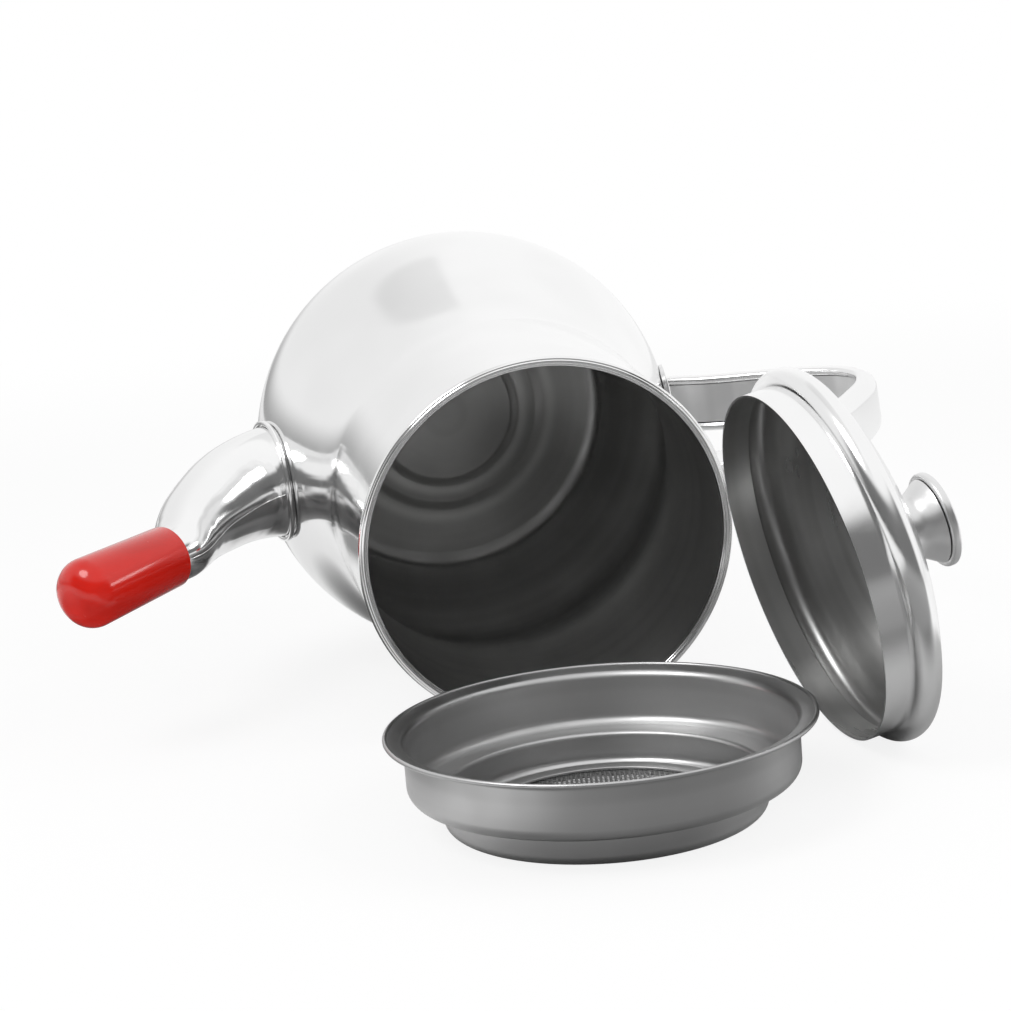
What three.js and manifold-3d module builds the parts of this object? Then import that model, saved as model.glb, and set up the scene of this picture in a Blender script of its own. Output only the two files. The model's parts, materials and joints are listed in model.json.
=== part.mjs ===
// Bacon grease container: a stainless pot with a gooseneck spout and an ear-shaped handle, its push-on
// spout cap, and the strainer and lid that stack in its mouth. The pot lies on its side, the strainer
// stands in front of the mouth, and the lid leans on the rim. Millimetres, +Z up, seen from -Y.
import * as THREE from 'three';
import { mergeVertices } from 'three/addons/utils/BufferGeometryUtils.js';
import Module from 'manifold-3d';

const wasm = await Module();
wasm.setup();

// Fits and fineness
const gap = 0.3;
const overrun = 6;
const largeFacets = 36;
const smallFacets = 20;
const tubeFacets = 16;

// Pot shell
const mouthRadius = 52;
const beadRadius = 1.5;
const beadInset = 1.5;
const potWall = 0.8;
const potHeight = 161;
const neckLength = 54.8;
const bellyRadius = 69.2;
const bellyHeight = 39.3;
const lowerArcRadius = 62.7;
const cornerRadius = 8;
const footWidth = 5.2;

// Pot base
const basePanelRadius = 34;
const baseCentreRadius = 25;
const basePanelRise = 1.4;
const baseCentreRise = 1.2;
const basePressRun = 2;

// Spout
const spoutRootRadius = 19.4;
const spoutTipRadius = 8.1;
const spoutWall = 0.8;
const spoutRootHeight = 54.8;
const spoutRise = 58.2;
const spoutProjection = 36.3;
const spoutTipAngle = 41;
const spoutTipLength = 25;
const spoutRunIn = 5;
const spoutSteps = 18;
const spoutBendShares = [
  [-0.303, -0.076], [0.041, -0.024], [0.226, 0.052], [0.369, 0.156], [0.485, 0.273], [0.59, 0.393],
  [0.686, 0.519], [0.758, 0.648], [0.815, 0.78],
];
const collarWidth = 1.4;
const collarThickness = 1.6;

// Spout cap
const capWall = 1.1;
const capFlare = 0.95;
const capLength = 39.4;
const capEndRadius = 7.5;

// Handle
const strapWidth = 18.8;
const strapDepth = 6.4;
const strapSheet = 1;
const strapEdgeWidth = 2.6;
const strapRound = 4.2;
const strapRollRound = 1;
const linerSheet = 0.8;
const linerRecess = 1.4;
const handleDrop = 15;
const handleRootHeight = 52;
const handleReach = 51.5;
const handleSkew = 4.2;
const handleSteps = 28;
const handleShares = [
  [-0.08, -0.06], [0.19, 0.02], [0.4, 0.13], [0.62, 0.22], [0.82, 0.31], [0.95, 0.4], [1, 0.5],
  [0.96, 0.6], [0.84, 0.71], [0.69, 0.82], [0.49, 0.94], [0.25, 1], [-0.05, 1],
];
const padThickness = 1.2;
const padWidth = 23;
const padHeight = 17;
const padRound = 4;

// Strainer
const strainerPlay = 1.7;
const strainerSheet = 0.6;
const strainerHeight = 24.7;
const lipWidth = 4.5;
const lipRise = 2.2;
const lipRound = 1.6;
const stepWidth = 8.8;
const stepHeight = 8.6;
const shoulderRadius = 3.4;
const pressRadius = 2.5;
const drainRadius = 31;
const meshLap = 3.6;
const meshThickness = 0.5;
const meshRingLap = 1;
const meshRows = 3;
const meshPitch = 8;
const meshHoleRadius = 2.6;

// Lid
const lidPlay = 0.5;
const lidSheet = 0.6;
const skirtHeight = 7.3;
const bulgeRadius = 4.1;
const domeHeight = 28.2;
const domeStartAngle = 63.5;
const knobSeatMargin = 1;

// Knob
const knobBaseRadius = 10.5;
const knobWaistRadius = 9;
const knobTopRadius = 12;
const knobHeight = 11.3;
const knobDiscRadius = 13.4;
const knobDiscThickness = 2.6;
const knobDiscCrown = 0.7;
const knobDiscRound = 0.8;
const spigotRadius = 4;
const spigotDepth = 2;
const screwRadius = 2;
const screwReach = 7;
const screwHeadRadius = 4.5;
const screwHeadHeight = 2.6;
const screwHeadRound = 1;
const slotWidth = 1.2;
const slotDepth = 1.2;
const washerRadius = 6.5;
const washerThickness = 1;

// How the pieces lie
const potYaw = 11.03;
const spoutSink = 3;
const strainerGap = 26.9;
const strainerAside = 7.8;
const lidYaw = 13.4;
const lidLean = 12.1;
const lidPastRim = 2.8;
const lidRimGap = 0.7;

const radians = THREE.MathUtils.degToRad;
const at = (x, y) => new THREE.Vector2(x, y);

// Finishes
const mirrorSteel = { color: 0xd4d7da, roughness: 0.12, metalness: 1 };
const satinSteel = { color: 0x9b9d9f, roughness: 0.4, metalness: 1 };
const meshSteel = { color: 0x77797b, roughness: 0.5, metalness: 1 };
const redVinyl = { color: 0xc4200c, roughness: 0.25, metalness: 0 };

function piece(name, geometry, finish) {
  const mesh = new THREE.Mesh(geometry, new THREE.MeshStandardMaterial(finish));
  mesh.name = name;
  return mesh;
}

// Closed solids

// The geometry with shared vertices and no collapsed triangles, its faces pointing out.
function sealed(geometry) {
  const bare = geometry.clone();
  bare.deleteAttribute('normal');
  bare.deleteAttribute('uv');
  const merged = mergeVertices(bare);
  const { array } = merged.index;
  const place = merged.attributes.position;
  const corners = [new THREE.Vector3(), new THREE.Vector3(), new THREE.Vector3()];
  const kept = [];
  let volume = 0;
  for (let first = 0; first < array.length; first += 3) {
    const [a, b, c] = array.slice(first, first + 3);
    if (a !== b && b !== c && c !== a) {
      kept.push([a, b, c]);
      corners.forEach((corner, index) => corner.fromBufferAttribute(place, [a, b, c][index]));
      volume += corners[0].dot(corners[1].cross(corners[2]));
    }
  }
  merged.setIndex(kept.flatMap(([a, b, c]) => (volume < 0 ? [a, c, b] : [a, b, c])));
  return merged;
}

function toSolid(geometry) {
  const closed = sealed(geometry);
  return new wasm.Manifold(new wasm.Mesh({
    numProp: 3,
    vertProperties: new Float32Array(closed.attributes.position.array),
    triVerts: new Uint32Array(closed.index.array),
  }));
}

function toGeometry(solid) {
  const { vertProperties, triVerts } = solid.getMesh();
  const geometry = new THREE.BufferGeometry();
  geometry.setAttribute('position', new THREE.BufferAttribute(vertProperties, 3));
  geometry.setIndex(new THREE.BufferAttribute(triVerts, 1));
  return geometry;
}

// An outline of (radius, height) points turned about +Z. One facet's middle faces the angle facing.
function turned(outline, facets, facing = 0) {
  const firstEdge = radians(facing) + Math.PI / 2 - Math.PI / facets;
  const geometry = new THREE.LatheGeometry([...outline, outline[0]], facets, firstEdge);
  return sealed(geometry.rotateX(Math.PI / 2));
}

// A smooth curve through points of a plane.
function curveThrough(points) {
  return new THREE.CatmullRomCurve3(points.map(({ x, y }) => new THREE.Vector3(x, y, 0)));
}

// A solid swept along a curve in the XZ plane. sectionAt(share) is the outline at a share of the way,
// its x to the left of the curve in that plane and its y along +Y.
function swept(curve, steps, sectionAt) {
  const places = [];
  const faces = [];
  const outlineAt = (share) => {
    const outline = sectionAt(share);
    return THREE.ShapeUtils.isClockWise(outline) ? [...outline].reverse() : outline;
  };
  for (let step = 0; step <= steps; step += 1) {
    const middle = curve.getPointAt(step / steps);
    const along = curve.getTangentAt(step / steps);
    for (const point of outlineAt(step / steps)) {
      places.push(middle.x - point.x * along.y, point.y, middle.y + point.x * along.x);
    }
  }
  const start = outlineAt(0);
  const count = start.length;
  for (let step = 0; step < steps; step += 1) {
    for (let corner = 0; corner < count; corner += 1) {
      const a = step * count + corner;
      const b = step * count + (corner + 1) % count;
      faces.push(a, b, b + count, a, b + count, a + count);
    }
  }
  for (const [a, b, c] of THREE.ShapeUtils.triangulateShape(start, [])) {
    faces.push(a, c, b, steps * count + a, steps * count + b, steps * count + c);
  }
  const geometry = new THREE.BufferGeometry();
  geometry.setAttribute('position', new THREE.Float32BufferAttribute(places, 3));
  geometry.setIndex(faces);
  return sealed(geometry);
}

// Outlines

// Points of an arc, angles in degrees.
function arc(centre, radius, from, to, steps) {
  return Array.from({ length: steps + 1 }, (_, step) => {
    const angle = radians(from + (to - from) * step / steps);
    return at(centre.x + radius * Math.cos(angle), centre.y + radius * Math.sin(angle));
  });
}

// A line moved sideways, to the left of its run by distance, with its corners mitred.
function offsetLine(line, distance) {
  return line.map((point, index) => {
    const before = line[Math.max(index - 1, 0)];
    const after = line[Math.min(index + 1, line.length - 1)];
    const runs = [[before, point], [point, after]].filter(([from, to]) => !from.equals(to));
    const sides = runs.map(([from, to]) => at(from.y - to.y, to.x - from.x).normalize());
    const sum = sides.reduce((total, side) => total.clone().add(side));
    return point.clone().addScaledVector(sum, distance * sides.length / sum.lengthSq());
  });
}

// A sheet's closed outline, from the line of its right-hand face.
function sheetOutline(line, thickness) {
  return [...line, ...offsetLine(line, thickness).reverse()];
}

// The pot, upright in its own frame: base on z = 0, spout along +X, handle along -X

const neckRadius = mouthRadius + beadInset + potWall;
const beadCentre = at(mouthRadius + beadRadius, potHeight);
const downAngle = 90 - spoutSink;

// The shell's outer line from the foot's inner edge up to the bead.
function shellLine() {
  const lowerCentre = at(bellyRadius - lowerArcRadius, bellyHeight);
  const cornerReach = lowerArcRadius - cornerRadius;
  const cornerDrop = bellyHeight - cornerRadius;
  const cornerCentre = at(lowerCentre.x + Math.sqrt(cornerReach ** 2 - cornerDrop ** 2), cornerRadius);
  const meeting = -THREE.MathUtils.radToDeg(Math.asin(cornerDrop / cornerReach));
  const neckStart = potHeight - neckLength;
  const shoulderSteps = 9;
  const shoulder = Array.from({ length: shoulderSteps }, (_, step) => {
    const share = (step + 1) / shoulderSteps;
    return at(
      THREE.MathUtils.lerp(bellyRadius, neckRadius, THREE.MathUtils.smoothstep(share, 0, 1)),
      THREE.MathUtils.lerp(bellyHeight, neckStart, share),
    );
  });
  return {
    cornerCentre,
    line: [
      at(cornerCentre.x - footWidth, 0),
      ...arc(cornerCentre, cornerRadius, -90, meeting, 3),
      ...arc(lowerCentre, lowerArcRadius, meeting, 0, 4).slice(1),
      ...shoulder,
    ],
  };
}

const { cornerCentre, line: outerLine } = shellLine();

// The angle below level at which the bead meets a wall of the given radius.
function beadAngle(radius) {
  return THREE.MathUtils.radToDeg(Math.acos((radius - beadCentre.x) / beadRadius));
}

const beadPoints = arc(
  beadCentre, beadRadius, -beadAngle(neckRadius), 360 - beadAngle(neckRadius - potWall), 9,
);

// The pot's outer form as one solid, grown by distance, for cutting what meets it.
function potForm(distance) {
  const grown = offsetLine(outerLine, -distance);
  const top = at(neckRadius + distance, potHeight + overrun);
  return turned([at(0, grown[0].y), ...grown, top, at(0, top.y)], largeFacets, downAngle);
}

// The layer between two distances outside the shell.
function potLayer(inner, outer) {
  return toSolid(potForm(outer)).subtract(toSolid(potForm(inner)));
}

function potBody() {
  const innerLine = offsetLine(outerLine, potWall);
  const outline = [...outerLine, ...beadPoints, ...innerLine.reverse()];
  const shell = toSolid(turned(outline, largeFacets, downAngle));
  return toGeometry(shell.subtract(toSolid(spoutForm(-spoutWall))));
}

function potBase() {
  const seat = potWall + gap;
  const half = basePressRun / 2;
  const panel = seat + basePanelRise;
  const centre = panel + baseCentreRise;
  const under = [
    at(cornerCentre.x, seat), at(basePanelRadius + half, seat), at(basePanelRadius - half, panel),
    at(baseCentreRadius + half, panel), at(baseCentreRadius - half, centre), at(0, centre),
  ];
  const over = under.map((point) => at(point.x, point.y + potWall)).reverse();
  return turned([...under, ...over], largeFacets, downAngle);
}

const tipDirection = at(Math.cos(radians(spoutTipAngle)), Math.sin(radians(spoutTipAngle)));
const capMouth = at(bellyRadius + spoutProjection, spoutRootHeight + spoutRise);

function spoutCurve() {
  const root = at(bellyRadius, spoutRootHeight);
  const reach = capMouth.clone().sub(root);
  const bends = spoutBendShares.map(([x, y]) => at(root.x + reach.x * x, root.y + reach.y * y));
  const along = (distance) => capMouth.clone().addScaledVector(tipDirection, distance);
  return curveThrough([...bends, along(-spoutRunIn), capMouth, along(spoutTipLength)]);
}

// The spout's outer radius at a share of its centre line, grown by distance.
function spoutRadius(share, length, distance) {
  const left = Math.max(1 - share * length / (length - spoutTipLength), 0);
  return THREE.MathUtils.lerp(spoutTipRadius, spoutRootRadius, left) + distance;
}

// The whole spout as a rod, grown by distance, for cutting what meets it.
function spoutForm(distance) {
  const curve = spoutCurve();
  const length = curve.getLength();
  return swept(curve, spoutSteps, (share) => (
    arc(at(0, 0), spoutRadius(share, length, distance), 0, 360, tubeFacets).slice(1)
  ));
}

// One pressed half of the spout: side is 1 for +Y and -1 for -Y.
function spoutHalf(side) {
  const curve = spoutCurve();
  const length = curve.getLength();
  const half = swept(curve, spoutSteps, (share) => [
    ...arc(at(0, 0), spoutRadius(share, length, 0), 0, 180 * side, tubeFacets / 2),
    ...arc(at(0, 0), spoutRadius(share, length, -spoutWall), 180 * side, 0, tubeFacets / 2),
  ]);
  return toGeometry(toSolid(half).subtract(toSolid(potForm(gap))));
}

function spoutCollar() {
  const sleeve = toSolid(spoutForm(gap + collarWidth)).subtract(toSolid(spoutForm(gap)));
  return toGeometry(sleeve.intersect(potLayer(gap, gap + collarThickness)));
}

function spoutCap() {
  const bore = spoutTipRadius + gap;
  const radius = bore + capWall;
  const outside = [
    at(radius, 0),
    ...arc(at(radius + capFlare - capEndRadius, capLength - capEndRadius), capEndRadius, 0, 90, 4),
  ];
  const boreEnd = capEndRadius - capWall;
  const inside = [
    ...arc(at(bore + capFlare - boreEnd, capLength - capEndRadius), boreEnd, 90, 0, 3),
    at(bore, 0),
  ];
  const outline = [...outside, at(0, capLength), at(0, capLength - capWall), ...inside];
  const cap = piece('spout_cap', turned(outline, smallFacets), redVinyl);
  cap.position.set(capMouth.x, 0, capMouth.y);
  cap.rotation.y = Math.PI / 2 - radians(spoutTipAngle);
  return cap;
}

function handleCurve() {
  const low = handleRootHeight;
  const high = potHeight - handleDrop;
  const reach = bellyRadius + handleReach;
  return curveThrough(handleShares.map(([x, y]) => at(
    -THREE.MathUtils.lerp(neckRadius, reach, x),
    THREE.MathUtils.lerp(low, high, y),
  )));
}

// A strap swept along the handle and trimmed to the pads, its section's x towards the grip's inside.
function strap(section) {
  const swing = swept(handleCurve(), handleSteps, () => section);
  swing.rotateZ(radians(handleSkew));
  return toGeometry(toSolid(swing).subtract(toSolid(potForm(gap + padThickness + gap))));
}

function handleOuter() {
  const back = -strapDepth / 2;
  const front = strapDepth / 2;
  const edge = strapWidth / 2;
  const well = edge - strapEdgeWidth;
  const side = [
    ...arc(at(back + strapRound, edge - strapRound), strapRound, 180, 90, 3),
    at(front - strapRollRound, edge), at(front, edge - strapRollRound), at(front, well),
    at(back + strapSheet, well),
  ];
  const mirrored = side.map((point) => at(point.x, -point.y)).reverse();
  return strap([...side, ...mirrored].map((point) => at(-point.x, point.y)));
}

function handleInner() {
  const front = strapDepth / 2 - linerRecess;
  const edge = strapWidth / 2 - strapEdgeWidth - gap;
  const back = front - linerSheet;
  return strap([at(-front, edge), at(-back, edge), at(-back, -edge), at(-front, -edge)]);
}

// A rounded plate bent to the shell, with its middle at a height on the handle's side.
function handlePad(height) {
  const x = padWidth / 2 - padRound;
  const y = padHeight / 2 - padRound;
  const corners = [at(x, y), at(-x, y), at(-x, -y), at(x, -y)];
  const outline = corners.flatMap((corner, index) => arc(corner, padRound, 90 * index, 90 * index + 90, 3));
  const depth = bellyRadius + overrun;
  const block = new THREE.ExtrudeGeometry(new THREE.Shape(outline), { depth, bevelEnabled: false });
  block.rotateZ(Math.PI / 2).rotateY(-Math.PI / 2).rotateZ(radians(handleSkew)).translate(0, 0, height);
  return toGeometry(toSolid(block).intersect(potLayer(gap, gap + padThickness)));
}

// The strainer, standing on z = 0

const strainerRadius = mouthRadius - strainerPlay;
const lipRadius = strainerRadius + lipWidth;
const lowerRadius = strainerRadius - stepWidth;

function strainerPan() {
  const lipBase = strainerHeight - lipRise;
  const line = [
    at(drainRadius, 0),
    ...arc(at(lowerRadius - pressRadius, pressRadius), pressRadius, -90, 0, 3),
    at(lowerRadius, stepHeight - strainerSheet),
    at(lowerRadius + strainerSheet, stepHeight),
    ...arc(
      at(strainerRadius - shoulderRadius, stepHeight + shoulderRadius), shoulderRadius, -90, 0, 4,
    ),
    ...arc(at(strainerRadius + lipRound, lipBase - lipRound / 2), lipRound, 180, 110, 3),
    at(lipRadius, strainerHeight - strainerSheet),
  ];
  return turned(sheetOutline(line, strainerSheet), largeFacets, -90);
}

const meshRadius = drainRadius + meshLap;
const meshSeat = strainerSheet + gap;

function strainerMesh() {
  const outline = arc(at(0, 0), meshRadius, 0, 360, largeFacets).slice(1);
  const sheet = new THREE.Shape(outline);
  const rowHeight = meshPitch * Math.sin(Math.PI / 3);
  for (let row = -meshRows; row <= meshRows; row += 1) {
    const count = 2 * meshRows + 1 - Math.abs(row);
    for (let column = 0; column < count; column += 1) {
      const centre = at((column - (count - 1) / 2) * meshPitch, row * rowHeight);
      if (centre.length() + meshHoleRadius < drainRadius) {
        sheet.holes.push(new THREE.Path(arc(centre, meshHoleRadius, 30, 390, 6).slice(1)));
      }
    }
  }
  const geometry = new THREE.ExtrudeGeometry(sheet, { depth: meshThickness, bevelEnabled: false });
  return sealed(geometry.translate(0, 0, meshSeat));
}

function meshRing() {
  const seat = meshSeat + meshThickness + gap;
  const top = seat + strainerSheet;
  const outer = meshRadius + meshRingLap;
  const outline = [at(drainRadius, seat), at(outer, seat), at(outer, top), at(drainRadius, top)];
  return turned(outline, largeFacets, -90);
}

// The lid, with its open edge on z = 0 and its knob along +Z

const skirtRadius = strainerRadius - strainerSheet - lidPlay;
const screwHole = screwRadius + gap;
const seatRadius = knobBaseRadius + knobSeatMargin;
const domeStart = at(
  skirtRadius + bulgeRadius * Math.cos(radians(domeStartAngle)),
  skirtHeight + bulgeRadius * (1 + Math.sin(radians(domeStartAngle))),
);
const domeAt = (radius) => domeHeight - (domeHeight - domeStart.y) * (radius / domeStart.x) ** 2;
const seatHeight = domeAt(seatRadius);

function lidLine() {
  const domeSteps = 5;
  const dome = Array.from({ length: domeSteps }, (_, step) => {
    const radius = THREE.MathUtils.lerp(domeStart.x, seatRadius, (step + 1) / domeSteps);
    return at(radius, domeAt(radius));
  });
  return [
    at(skirtRadius, 0),
    ...arc(at(skirtRadius, skirtHeight + bulgeRadius), bulgeRadius, -90, domeStartAngle, 7),
    ...dome,
    at(screwHole, seatHeight),
  ];
}

const lidOuterLine = lidLine();

function lidShell() {
  return turned(sheetOutline(lidOuterLine, lidSheet), largeFacets, -90);
}

function knobNeck() {
  const recessRadius = spigotRadius + gap;
  const recessFloor = knobHeight - spigotDepth - gap;
  const waist = new THREE.SplineCurve([
    at(knobBaseRadius, 0), at(knobWaistRadius, knobHeight / 2), at(knobTopRadius, knobHeight),
  ]);
  const outline = [
    at(screwHole, 0), ...waist.getPoints(8), at(recessRadius, knobHeight), at(recessRadius, recessFloor),
    at(screwHole, recessFloor),
  ];
  const neck = piece('knob_neck', turned(outline, smallFacets), mirrorSteel);
  neck.position.z = seatHeight + gap;
  return neck;
}

function knobDisc() {
  const edge = knobDiscThickness - knobDiscRound;
  const outline = [
    at(0, -spigotDepth), at(spigotRadius, -spigotDepth), at(spigotRadius, 0),
    ...arc(at(knobDiscRadius - knobDiscRound, knobDiscRound), knobDiscRound, -90, 0, 2),
    ...arc(at(knobDiscRadius - knobDiscRound, edge), knobDiscRound, 0, 90, 2),
    at(knobDiscRadius / 2, knobDiscThickness + knobDiscCrown * 3 / 4),
    at(0, knobDiscThickness + knobDiscCrown),
  ];
  const disc = piece('knob_disc', turned(outline, smallFacets), mirrorSteel);
  disc.position.z = seatHeight + gap + knobHeight + gap;
  return disc;
}

const washerTop = seatHeight - lidSheet - gap;
const screwHeadTop = washerTop - washerThickness - gap;

function knobWasher() {
  const bottom = washerTop - washerThickness;
  const outline = [
    at(screwHole, bottom), at(washerRadius, bottom), at(washerRadius, washerTop), at(screwHole, washerTop),
  ];
  return piece('knob_washer', turned(outline, smallFacets), satinSteel);
}

function knobScrew() {
  const bottom = screwHeadTop - screwHeadHeight;
  const top = seatHeight + gap + screwReach;
  const outline = [
    at(0, bottom), at(screwHeadRadius - screwHeadRound, bottom),
    at(screwHeadRadius, bottom + screwHeadRound), at(screwHeadRadius, screwHeadTop),
    at(screwRadius, screwHeadTop), at(screwRadius, top), at(0, top),
  ];
  const slot = new THREE.BoxGeometry(2 * screwHeadRadius + overrun, slotWidth, 2 * slotDepth);
  slot.translate(0, 0, bottom);
  const cut = toSolid(turned(outline, smallFacets)).subtract(toSolid(slot));
  return piece('knob_screw', toGeometry(cut), satinSteel);
}

// Placing: x to the right, y away, the middle of the pot's mouth above the origin

// The line that the laid pot stands on, through a bead point and a shell point, with every other point
// above it: its slope against the axis, and its distance from the axis at the base.
function restingLine() {
  const share = Math.cos(Math.PI / largeFacets);
  const points = [...outerLine, ...beadPoints];
  for (const high of beadPoints) {
    for (const low of outerLine) {
      const slope = share * (low.x - high.x) / (high.y - low.y);
      const reach = share * low.x + slope * low.y;
      const touching = (point) => point === high || point === low;
      if (points.every((point) => touching(point) || share * point.x + slope * point.y < reach)) {
        return { slope, reach };
      }
    }
  }
  throw new Error('the laid pot has no resting line');
}

const forward = new THREE.Vector3(Math.sin(radians(potYaw)), -Math.cos(radians(potYaw)), 0);
const rightward = new THREE.Vector3(Math.cos(radians(potYaw)), Math.sin(radians(potYaw)), 0);
const upward = new THREE.Vector3(0, 0, 1);

function potMatrix() {
  const { slope, reach } = restingLine();
  const lean = Math.atan(slope);
  const axis = forward.clone().multiplyScalar(Math.cos(lean)).addScaledVector(upward, -Math.sin(lean));
  const level = rightward.clone().negate();
  const raised = level.clone().cross(axis);
  const spoutWay = level.clone().multiplyScalar(Math.cos(radians(spoutSink)));
  spoutWay.addScaledVector(raised, -Math.sin(radians(spoutSink)));
  const matrix = new THREE.Matrix4().makeBasis(spoutWay, axis.clone().cross(spoutWay), axis);
  const mouthHeight = (reach - slope * potHeight) * Math.cos(lean);
  const mouth = upward.clone().multiplyScalar(mouthHeight).addScaledVector(axis, -potHeight);
  return matrix.setPosition(mouth);
}

// The lid's place when its middle is moved right of the mouth's middle, standing on the floor.
function lidMatrix(right) {
  const lean = radians(lidLean);
  const yaw = radians(lidYaw);
  const knobWay = new THREE.Vector3(
    Math.cos(lean) * Math.cos(yaw), Math.cos(lean) * Math.sin(yaw), Math.sin(lean),
  );
  const side = new THREE.Vector3(-Math.sin(yaw), Math.cos(yaw), 0);
  const matrix = new THREE.Matrix4().makeBasis(side, knobWay.clone().cross(side), knobWay);
  const share = Math.cos(Math.PI / largeFacets);
  const depths = lidOuterLine.map(({ x, y }) => share * x * Math.cos(lean) - y * Math.sin(lean));
  const ahead = skirtRadius + bulgeRadius - lidPastRim;
  const middle = rightward.clone().multiplyScalar(right).addScaledVector(forward, ahead);
  return matrix.setPosition(middle.addScaledVector(upward, Math.max(...depths)));
}

// The least distance between the lid, moved right of the mouth, and the pot's bead.
function rimDistance(right) {
  const toPot = potMatrix().invert().multiply(lidMatrix(right));
  let least = Infinity;
  for (const { x, y } of lidOuterLine) {
    for (let facet = 0; facet < largeFacets; facet += 1) {
      const angle = 2 * Math.PI * (facet + 0.5) / largeFacets;
      const point = new THREE.Vector3(x * Math.cos(angle), x * Math.sin(angle), y).applyMatrix4(toPot);
      const across = Math.hypot(point.x, point.y) - beadCentre.x;
      least = Math.min(least, Math.hypot(across, point.z - beadCentre.y) - beadRadius);
    }
  }
  return least;
}

// How far right of the mouth's middle the lid's middle lies when the lid leans on the rim.
function lidRight() {
  let near = mouthRadius;
  let far = 2 * mouthRadius;
  const halvings = 40;
  for (let halving = 0; halving < halvings; halving += 1) {
    const middle = (near + far) / 2;
    if (rimDistance(middle) < lidRimGap) {
      near = middle;
    } else {
      far = middle;
    }
  }
  return far;
}

function placed(matrix, ...pieces) {
  const group = new THREE.Group();
  group.add(...pieces);
  group.applyMatrix4(matrix);
  return group;
}

const pot = placed(
  potMatrix(),
  piece('pot_body', potBody(), mirrorSteel),
  piece('pot_base', potBase(), satinSteel),
  piece('spout_left_half', spoutHalf(-1), mirrorSteel),
  piece('spout_right_half', spoutHalf(1), mirrorSteel),
  piece('spout_collar', spoutCollar(), mirrorSteel),
  piece('handle_outer', handleOuter(), mirrorSteel),
  piece('handle_inner', handleInner(), satinSteel),
  piece('handle_upper_pad', handlePad(potHeight - handleDrop), satinSteel),
  piece('handle_lower_pad', handlePad(handleRootHeight), satinSteel),
  spoutCap(),
);

const strainerMiddle = forward.clone().multiplyScalar(lipRadius + strainerGap);
strainerMiddle.addScaledVector(rightward, -strainerAside);
const strainer = placed(
  new THREE.Matrix4().setPosition(strainerMiddle),
  piece('strainer_pan', strainerPan(), satinSteel),
  piece('strainer_mesh', strainerMesh(), meshSteel),
  piece('mesh_ring', meshRing(), satinSteel),
);

const lid = placed(
  lidMatrix(lidRight()),
  piece('lid_shell', lidShell(), mirrorSteel),
  knobNeck(),
  knobDisc(),
  knobScrew(),
  knobWasher(),
);

const container = new THREE.Group();
container.add(pot, strainer, lid);

// The origin is the middle of the bottom of the whole set.
container.updateMatrixWorld(true);
const box = new THREE.Box3().setFromObject(container, true);
const middle = box.getCenter(new THREE.Vector3());
container.position.set(-middle.x, -middle.y, -box.min.z);

export default container;
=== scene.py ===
"""Bacon grease container: a steel pot lying on its side, with its spout, cap and handle, its strainer and
its lid.

Lengths are metres and angles radians. Turned pieces are drawn as half outlines of (radius, height)
about their own axis and then set in their place in the frame.
"""
import json
import math

import bmesh
import bpy
from bpy.props import FloatProperty, FloatVectorProperty, IntProperty, PointerProperty
from mathutils import Matrix, Vector, geometry


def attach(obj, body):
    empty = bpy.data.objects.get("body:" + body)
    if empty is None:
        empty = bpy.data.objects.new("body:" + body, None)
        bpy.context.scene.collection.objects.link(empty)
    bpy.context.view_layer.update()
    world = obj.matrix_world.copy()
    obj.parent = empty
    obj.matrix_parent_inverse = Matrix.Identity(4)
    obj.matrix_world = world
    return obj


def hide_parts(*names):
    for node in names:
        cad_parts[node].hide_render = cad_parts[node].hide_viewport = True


bl_info = {
    "name": "Bacon Grease Container",
    "version": (1, 0, 0),
    "blender": (4, 5, 0),
    "location": "View3D > Sidebar > Container",
    "description": "Builds a steel grease pot with spout, strainer and lid on its packed frame",
    "category": "Add Mesh",
}

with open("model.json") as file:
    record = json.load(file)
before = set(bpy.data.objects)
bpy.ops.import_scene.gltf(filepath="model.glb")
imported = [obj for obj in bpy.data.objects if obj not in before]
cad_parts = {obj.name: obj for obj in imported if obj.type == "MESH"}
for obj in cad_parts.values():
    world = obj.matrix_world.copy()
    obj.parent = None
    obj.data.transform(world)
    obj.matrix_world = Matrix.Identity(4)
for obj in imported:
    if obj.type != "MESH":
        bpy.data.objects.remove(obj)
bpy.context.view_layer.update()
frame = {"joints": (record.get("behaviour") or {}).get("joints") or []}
JOINTS = {joint["name"]: joint for joint in frame["joints"]}
UP = Vector((0, 0, 1))
AXIS_Y = Vector((0, 1, 0))

# Points nearer than this are merged. Edges that turn by more degrees than these are shaded sharp, or bevelled
MERGE_DISTANCE = 2e-6
SHARP_TURN = 32
SQUARE_TURN = 60

# Roundings, in shares of the thickness that they round, or of half the collar's width
COLLAR_ROUNDING = 0.8
RING_ROUNDING = 0.4
WASHER_ROUNDING = 0.3
HEAD_ROUNDING = 0.4

# How far below the strainer's step its wall has an extra ring of points, in sheets, to hold the shading
STEP_HOLD = 1.6

# Steps of the curves
KNOT_STEPS = 24
SHOULDER_STEPS = 44
PRESS_STEPS = 8
DOME_STEPS = 24
CROWN_STEPS = 8
ROLL_STEPS = 80
SPOUT_STEPS = 96
SPOUT_ROUND_STEPS = 72
COLLAR_STEPS = 96
EAR_STEPS = 120
PAD_STEPS = 16
SCREW_STEPS = 64

# The step of the rim's roll at which the outside's finish ends, and the angles of its creases in degrees
ROLL_SPLIT = 55
ROLL_CREASES = (62, 128)

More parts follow.
